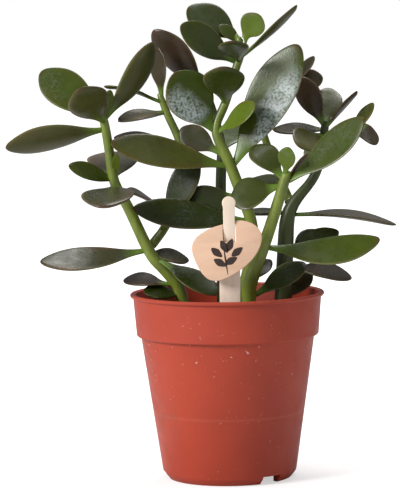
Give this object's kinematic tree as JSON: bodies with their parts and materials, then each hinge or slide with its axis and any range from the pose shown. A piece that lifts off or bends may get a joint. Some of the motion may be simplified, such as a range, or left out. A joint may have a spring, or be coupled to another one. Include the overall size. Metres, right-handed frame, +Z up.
{
  "type": "potted jade plant",
  "caption": "Jade plant with thick oval leaves on branching fleshy stems, in a tapered terracotta-coloured nursery pot with soil and a blank wooden plant label.",
  "frame": {"origin": "on the ground under the middle of the plant's box; the pot's axis is at x 10.4 mm, y -2 mm", "axes": "+Z up from the ground, -Y towards the front of the plant, where the label stands"},
  "size_m": [0.1796, 0.1, 0.2196],
  "materials": {
    "terracotta_plastic": "satin moulded plastic",
    "potting_soil": "crumbly, matte",
    "stem_skin": "smooth fleshy stem",
    "leaf_skin": "waxy leaf skin",
    "pale_wood": "bare pale wood",
    "tag_wood": "bare tan wood board"
  },
  "bodies": {
    "root": {"back_stem": "stem_skin", "centre_stem": "stem_skin", "front_stem": "stem_skin", "label_stick": "pale_wood", "label_tag": "tag_wood", "leaf_back_brown": "leaf_skin", "leaf_back_left": "leaf_skin", "leaf_back_right": "leaf_skin", "leaf_branch_left": "leaf_skin", "leaf_branch_long": "leaf_skin", "leaf_branch_thin": "leaf_skin", "leaf_branch_top": "leaf_skin", "leaf_branch_up": "leaf_skin", "leaf_centre_back": "leaf_skin", "leaf_centre_big": "leaf_skin", "leaf_centre_dark": "leaf_skin", "leaf_centre_frosted": "leaf_skin", "leaf_centre_grey": "leaf_skin", "leaf_centre_long": "leaf_skin", "leaf_centre_low_left": "leaf_skin", "leaf_centre_olive": "leaf_skin", "leaf_centre_round": "leaf_skin", "leaf_front_back": "leaf_skin", "leaf_front_bud": "leaf_skin", "leaf_front_left": "leaf_skin", "leaf_front_low": "leaf_skin", "leaf_front_pot": "leaf_skin", "leaf_front_right": "leaf_skin", "leaf_left_long": "leaf_skin", "leaf_left_low": "leaf_skin", "leaf_left_low_front": "leaf_skin", "leaf_left_mid_back": "leaf_skin", "leaf_left_mid_front": "leaf_skin", "leaf_left_mid_right": "leaf_skin", "leaf_left_rim": "leaf_skin", "leaf_left_top_back": "leaf_skin", "leaf_left_top_front": "leaf_skin", "leaf_left_top_right": "leaf_skin", "leaf_left_top_round": "leaf_skin", "leaf_outer_brown": "leaf_skin", "leaf_right_back": "leaf_skin", "leaf_right_brown": "leaf_skin", "leaf_right_droop": "leaf_skin", "leaf_right_edge": "leaf_skin", "leaf_right_long": "leaf_skin", "leaf_right_low": "leaf_skin", "leaf_right_olive": "leaf_skin", "leaf_right_rim": "leaf_skin", "leaf_top_edge": "leaf_skin", "leaf_top_front": "leaf_skin", "leaf_top_left": "leaf_skin", "leaf_top_light": "leaf_skin", "leaf_top_lower_left": "leaf_skin", "left_branch": "stem_skin", "left_stem": "stem_skin", "outer_branch": "stem_skin", "pot": "terracotta_plastic", "right_branch": "stem_skin", "right_stem": "stem_skin", "soil": "potting_soil"}
  },
  "joints": []
}
